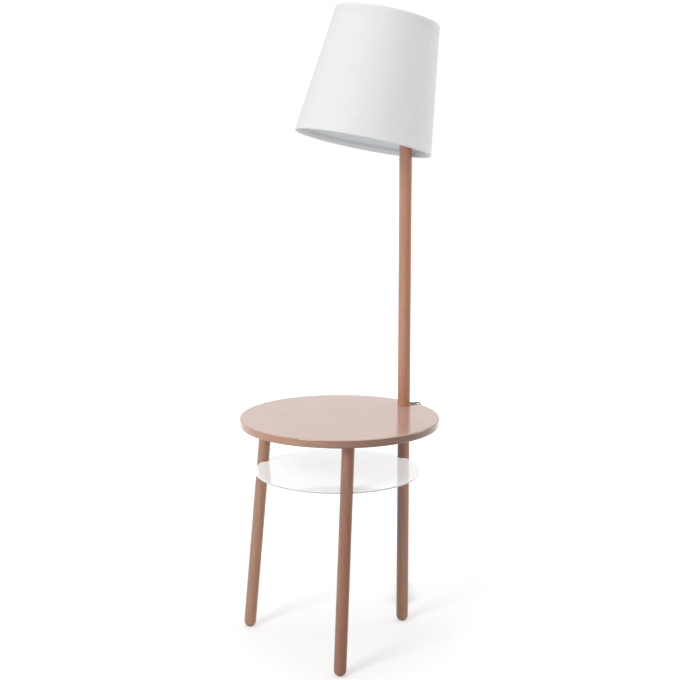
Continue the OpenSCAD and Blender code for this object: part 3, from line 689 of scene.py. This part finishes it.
def grained(name, colour, rough, grain, rough_by, depth_mm, metallic=0.0, **sockets):
    made, tree, shader = finish(name, colour, rough, metallic, **sockets)
    fine = flecks(tree, grain)
    patches = flecks(tree, [s * WANDER for s in grain], 1)
    wandering = add(tree, "MapRange", (patches, FLECK_LOW, FLECK_HIGH, rough - rough_by, rough + rough_by))
    bump = add(tree, "Bump", {"Height": fine, "Distance": depth_mm / 1000, "Strength": 0.5})
    feed(shader, {"Roughness": wandering, "Normal": bump})
    return made


print("patches are", WANDER, "grains wide")

# %% [markdown]
# Inside the shade, the film is matt and lets some light through from outside, so a small emission keeps it
# from black. Where the cloth is rolled in over the wires, a white glued tape covers it: a second slot of the
# cloth, on the faces that lie over the top plane or inside the cone. The tape's slightly greyer white paints
# a thin line of shade along the top hem.

# %% Film and hem tape
# Paper tape, rough and dull; its slightly greyer white paints a thin line of shade along the top hem.
cloth.data.materials.append(grained("hem_tape_and_shade", "#F0F2F5", 0.8, (0.5, 0.5, 0.5), 0.06, 0.05))
for face in cloth.data.polygons:
    arm = face.center - SHADE_TOP
    depth = -arm.dot(SHADE_AXIS) * 1000
    radius = (arm + SHADE_AXIS * depth / 1000).length * 1000
    if depth < 0.8 or radius < cloth_r(depth) - 2:
        face.material_index = 1

# Matt polystyrene film: bluish white, glowing a little with the daylight behind it.
dress(grained("matt_shade_film", "#E5E8EA", 0.7, (0.8, 0.8, 0.8), 0.08, 0.02,
              Emission_Color="#EFFBFF", Emission_Strength=0.095), "shade_film")

# %% [markdown]
# The fittings are all standard parts: plated steel for joint and screws, brass inserts and
# nipple, white polymer and ceramic for the lampholder, powder coated wire for the shade's frame,
# black polymers for cord and plug. A metal's colour is that of its reflection.

# %% Metal fittings
# Nickel plating over drawn steel: a pale soft mirror with fine lines along the draw.
dress(grained("nickel_plated_steel", "#C9CACB", 0.28, (0.5, 0.5, 4), 0.06, 0.01, 1.0),
      "mast_ferrule", "tilt_bracket")
# Zinc plating, tumbled: greyer and duller than nickel.
dress(grained("zinc_plated_steel", "#A9ABAD", 0.38, (0.7, 0.7, 0.7), 0.08, 0.01, 1.0),
      "pivot_bolt", "pivot_nut", "mast_stud", "leg_studs")
# Brass from the lathe: yellow, with fine rings of the tool across its axis.
dress(grained("turned_brass", "#C8A552", 0.3, (3, 3, 0.4), 0.06, 0.01, 1.0),
      "threaded_inserts", "holder_nipple", "nipple_nut", "screw_shell", "plug_pins")
# Pressed aluminium, unpolished: pale and blurred.
dress(grained("pressed_aluminium", "#B9BAB8", 0.35, (0.6, 0.6, 0.6), 0.06, 0.01, 1.0), "bulb_base")

# %% [markdown]
# Polymers, ceramic, paint and glass have an IOR from 1.5 to 1.6, so their gloss is white and weak
# beside their own colour. What sets them apart is how rough they are, and how fine their grain.

# %% White fittings
# Moulded polyester: warm white with a fairly even gloss.
dress(grained("white_moulded_polyester", "#ECEBE6", 0.32, (0.6, 0.6, 0.6), 0.05, 0.02, IOR=1.5),
      "lampholder_cap", "lampholder_skirt", "shade_ring_nut")
# Fired steatite without a glaze: dull, cream and slightly granular.
dress(grained("steatite_ceramic", "#DDD9CF", 0.6, (0.4, 0.4, 0.4), 0.08, 0.03, IOR=1.6), "lampholder_core")
# Powder coat: a satin skin with a fine orange peel.
dress(grained("white_powder_coat", "#E9E9E7", 0.45, (0.5, 0.5, 0.5), 0.06, 0.04, IOR=1.5),
      "shade_fitter", "shade_bottom_ring")
# Opal glass: milk white under a clear gloss.
dress(grained("opal_bulb_glass", "#FAF9F4", 0.18, (30, 30, 30), 0.04, 0.01, Coat_Weight=0.6,
              Coat_Roughness=0.05), "bulb_globe")

# %% [markdown]
# The black parts differ in how they are made: washers, cord grip and switch key are moulded hard,
# the plug is moulded soft, the cord's sheath is drawn through a die, and the tie is woven. The
# softer and more open the surface, the duller it is, so the key shines most and the tie least.

# %% Black fittings and cord
# Moulded nylon: black with a low, slightly mottled gloss.
dress(grained("black_nylon", "#232324", 0.45, (0.7, 0.7, 0.7), 0.08, 0.03, IOR=1.53),
      "friction_washers", "cord_grip", "switch_key")
# Extruded PVC sheath: soft dark grey with a broad light along it.
dress(grained("cord_pvc", "#2E2E30", 0.55, (0.9, 0.9, 0.9), 0.06, 0.02, IOR=1.53), cord, mast_lead, head_lead)
# Moulded rubber: matt black.
dress(grained("plug_rubber", "#29292B", 0.55, (0.6, 0.6, 0.6), 0.08, 0.04, IOR=1.52), "plug_body", relief)
# Woven nylon hook tape: dull black that takes no light.
dress(grained("tie_nylon", "#1F1F21", 0.8, (0.5, 0.5, 0.5), 0.05, 0.1, IOR=1.53), "cord_tie")

# %% [markdown]
# All the leads share one material slot, the sheath.

# %% [markdown]
# ## Studio
# The photograph has a white floor that runs into a white background, and soft light from all round. The floor
# glows a little for the camera and for reflections only, and more so away from the lamp's feet: a painted
# light, weaker round the lamp, so the floor reads as white paper, runs into the background with no edge, and
# keeps the soft shadows of the feet.

# %% Floor
FLOOR_R = 14
GLOW_AT_FEET, GLOW_NEAR, GLOW_FAR = 0.342, 0.435, 0.365  # the last is added to the one before
FEET_R, NEAR_R, FAR_R = 0.24, 0.6, 2.2  # metres from the middle of the floor


def seen_directly(tree):
    """1 for what the camera, a mirror or glass sees, 0 for what only lights other pieces."""
    camera_ray, mirror_ray, glass_ray = [
        add(tree, "LightPath", out=ray) for ray in ("Is Camera Ray", "Is Glossy Ray", "Is Transmission Ray")]
    either = add(tree, "Math", (camera_ray, mirror_ray), operation="MAXIMUM")
    return add(tree, "Math", (either, glass_ray), operation="MAXIMUM")


def floor_paper():
    # Matt white paper: no gloss to speak of.
    made, tree, shader = finish("floor_paper", "#F2F2F2", 0.9, Specular_IOR_Level=0.2,
                                Emission_Color="#FFFFFF")
    away = add(tree, "VectorMath", (add(tree, "TexCoord", out="Object"),), "Value", operation="LENGTH")
    # Painted light: the glow is weaker round the feet and grows away from them.
    near = add(tree, "MapRange", (away, FEET_R, NEAR_R, GLOW_AT_FEET, GLOW_NEAR))
    far = add(tree, "MapRange", (away, NEAR_R, FAR_R, 0, GLOW_FAR))
    glow = add(tree, "Math", (near, far), operation="ADD")
    feed(shader, {"Emission Strength": add(tree, "Math", (seen_directly(tree), glow), operation="MULTIPLY")})
    return made


shape = bmesh.new()
bmesh.ops.create_circle(shape, cap_ends=True, radius=FLOOR_R, segments=64)
mesh = bpy.data.meshes.new("studio_floor")
shape.to_mesh(mesh)
shape.free()
studio_floor = bpy.data.objects.new("studio_floor", mesh)
scene.collection.objects.link(studio_floor)
mesh.materials.append(floor_paper())
print("floor of", FLOOR_R, "m radius")

# %% [markdown]
# The background is pure white where it is seen, and only about half as strong where it lights the
# lamp, so that the lamps below still draw its shape.

# %% Background
FILL, SEEN = 0.535, 1.0
world = bpy.data.worlds.new("studio")
scene.world = world
world.use_nodes = True
tree = world.node_tree
tree.nodes.clear()
fill = add(tree, "Background", {"Color": "#FFFFFF", "Strength": FILL})
seen = add(tree, "Background", {"Color": "#FFFFFF", "Strength": SEEN})
both = add(tree, "MixShader", (seen_directly(tree), fill, seen))
feed(tree.nodes.new("ShaderNodeOutputWorld"), {"Surface": both})
print("background lights at", FILL)

# %% [markdown]
# One large soft lamp from the left leaves the mast and the shade a little darker on their right.
# A wide one above lights the table's face, and a weak narrow one the right edge of the shade.

# %% Lamps
def soft_lamp(name, place, aim, size, watts, spread=pi):
    light = bpy.data.lights.new(name, "AREA")
    light.shape, light.size, light.energy, light.spread = "DISK", size, watts, spread
    made = bpy.data.objects.new(name, light)
    scene.collection.objects.link(made)
    made.location = place
    made.rotation_euler = (Vector(aim) - Vector(place)).to_track_quat("-Z", "Y").to_euler()
    print(name, watts, "W")


soft_lamp("key_left", (-3.3, -0.9, 2.5), (0, 0, 0.7), 1.4, 48)
soft_lamp("fill_above", (0.3, 0.4, 4.2), (0, 0, 0.3), 2.5, 20)
soft_lamp("rim_right", (2.7, -0.6, 1.7), (0.1, 0, 1.3), 1.2, 2, radians(50))

# %% [markdown]
# Last, the view layer is updated, so that every piece stands in its final place.

# %% Final update
bpy.context.view_layer.update()
